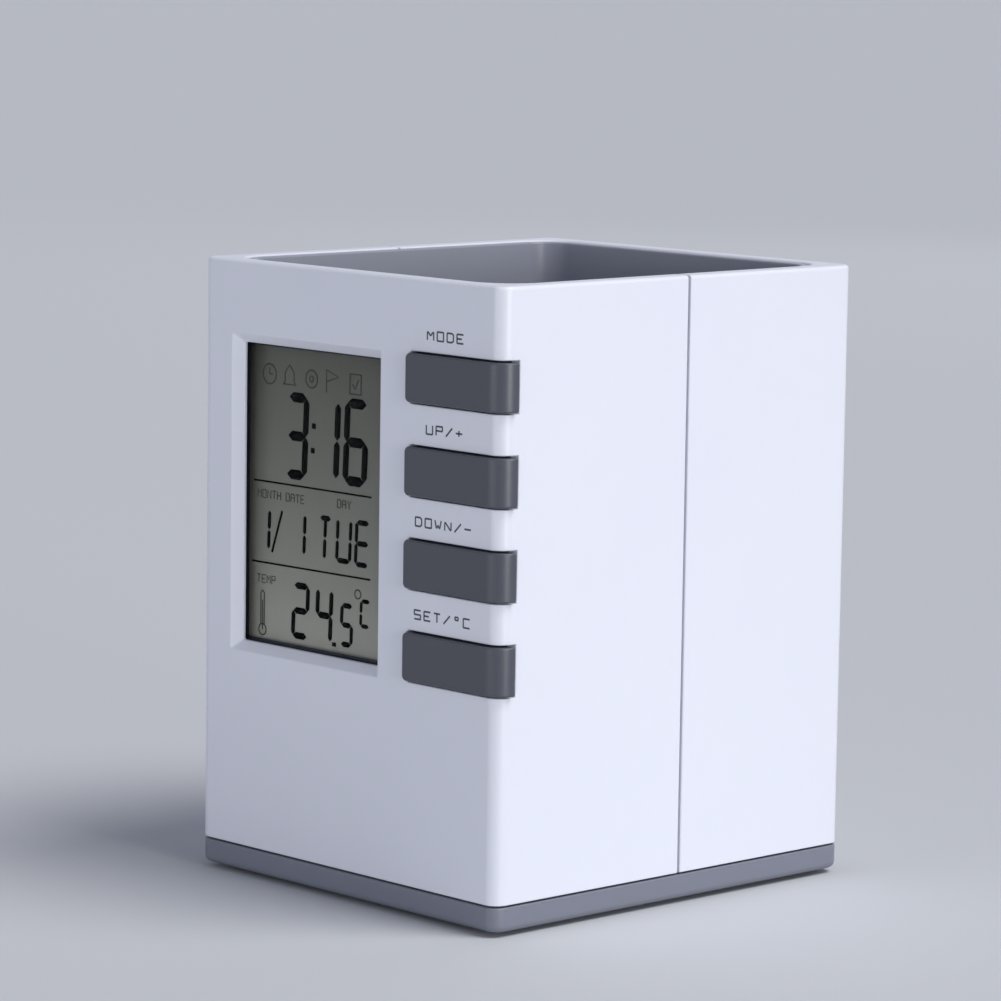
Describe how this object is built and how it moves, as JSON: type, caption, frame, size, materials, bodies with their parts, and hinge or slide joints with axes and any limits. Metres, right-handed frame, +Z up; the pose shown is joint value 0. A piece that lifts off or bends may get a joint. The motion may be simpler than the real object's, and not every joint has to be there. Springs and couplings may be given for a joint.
{
  "type": "pen holder clock",
  "caption": "Square desk pen holder: white half shells on a grey base, grey cup inside, bevelled segment display in front and grey keys round the front right corner.",
  "frame": {"origin": "bottom centre of the whole part, in the plane that the feet stand on", "axes": "+Z up, the display faces -Y, the keys wrap the corner between -Y and +X"},
  "size_m": [0.076, 0.083, 0.1055],
  "materials": {
    "white_abs": "moulded, fine satin texture",
    "grey_abs": "moulded, satin",
    "key_grey": "moulded, satin",
    "clear_lens": "clear polished acrylic",
    "lcd_glass": "grey green display glass",
    "lcd_backing": "matt reflector film",
    "inner_plastic": "moulded, plain",
    "contact_rubber": "striped silicone",
    "circuit_board": "green solder mask",
    "black_epoxy": "cast epoxy",
    "black_plastic": "moulded",
    "steel": "zinc plated",
    "nickel_plate": "nickel plated spring steel",
    "cell_jacket": "plain film jacket",
    "foot_rubber": "moulded rubber",
    "red_wire": "flexible insulation",
    "black_wire": "flexible insulation"
  },
  "bodies": {
    "case": {"front_shell": "white_abs", "rear_shell": "white_abs", "base_plate": "grey_abs", "inner_cup": "grey_abs", "display_window": "clear_lens", "lcd_front_glass": "lcd_glass", "lcd_rear_glass": "lcd_glass", "lcd_backing": "lcd_backing", "lcd_frame": "inner_plastic", "battery_tray": "inner_plastic", "contact_strip_upper": "contact_rubber", "contact_strip_lower": "contact_rubber", "main_board": "circuit_board", "chip_blob": "black_epoxy", "buzzer": "black_epoxy", "thermistor": "black_epoxy", "crystal_can": "steel", "capacitor": "nickel_plate", "cell_upper": "cell_jacket", "cell_lower": "cell_jacket", "battery_link_plate": "nickel_plate", "battery_plate_positive": "nickel_plate", "battery_plate_negative": "nickel_plate", "battery_spring_link": "nickel_plate", "battery_spring_end": "nickel_plate", "battery_lead_red": "red_wire", "battery_lead_black": "black_wire", "switch_body_mode": "black_plastic", "switch_body_up": "black_plastic", "switch_body_down": "black_plastic", "switch_body_set": "black_plastic", "base_screw_front_left": "steel", "base_screw_rear_left": "steel", "base_screw_front_right": "steel", "base_screw_rear_right": "steel", "board_screw_left_top": "steel", "board_screw_left_bottom": "steel", "board_screw_right_top": "steel", "board_screw_right_bottom": "steel", "tray_screw_left": "steel", "tray_screw_right": "steel", "foot_front_left": "foot_rubber", "foot_front_right": "foot_rubber", "foot_rear_left": "foot_rubber", "foot_rear_right": "foot_rubber"},
    "key_mode": {"button_mode": "key_grey", "switch_plunger_mode": "black_plastic"},
    "key_up": {"button_up": "key_grey", "switch_plunger_up": "black_plastic"},
    "key_down": {"button_down": "key_grey", "switch_plunger_down": "black_plastic"},
    "key_set": {"button_set": "key_grey", "switch_plunger_set": "black_plastic"},
    "door": {"battery_door": "white_abs"}
  },
  "joints": [
    {"name": "press_mode", "type": "slide", "parent": "case", "child": "key_mode", "axis": [0, 1, 0], "range_m": [0, 0.0005], "stiffness_N_per_m": 400},
    {"name": "press_up", "type": "slide", "parent": "case", "child": "key_up", "axis": [0, 1, 0], "range_m": [0, 0.0005], "stiffness_N_per_m": 400},
    {"name": "press_down", "type": "slide", "parent": "case", "child": "key_down", "axis": [0, 1, 0], "range_m": [0, 0.0005], "stiffness_N_per_m": 400},
    {"name": "press_set", "type": "slide", "parent": "case", "child": "key_set", "axis": [0, 1, 0], "range_m": [0, 0.0005], "stiffness_N_per_m": 400},
    {"name": "door_swing", "type": "hinge", "parent": "case", "child": "door", "pos_m": [-0.00045, 0.03985, 0.0121], "axis": [-1, 0, 0], "range_deg": [0, 94]}
  ]
}
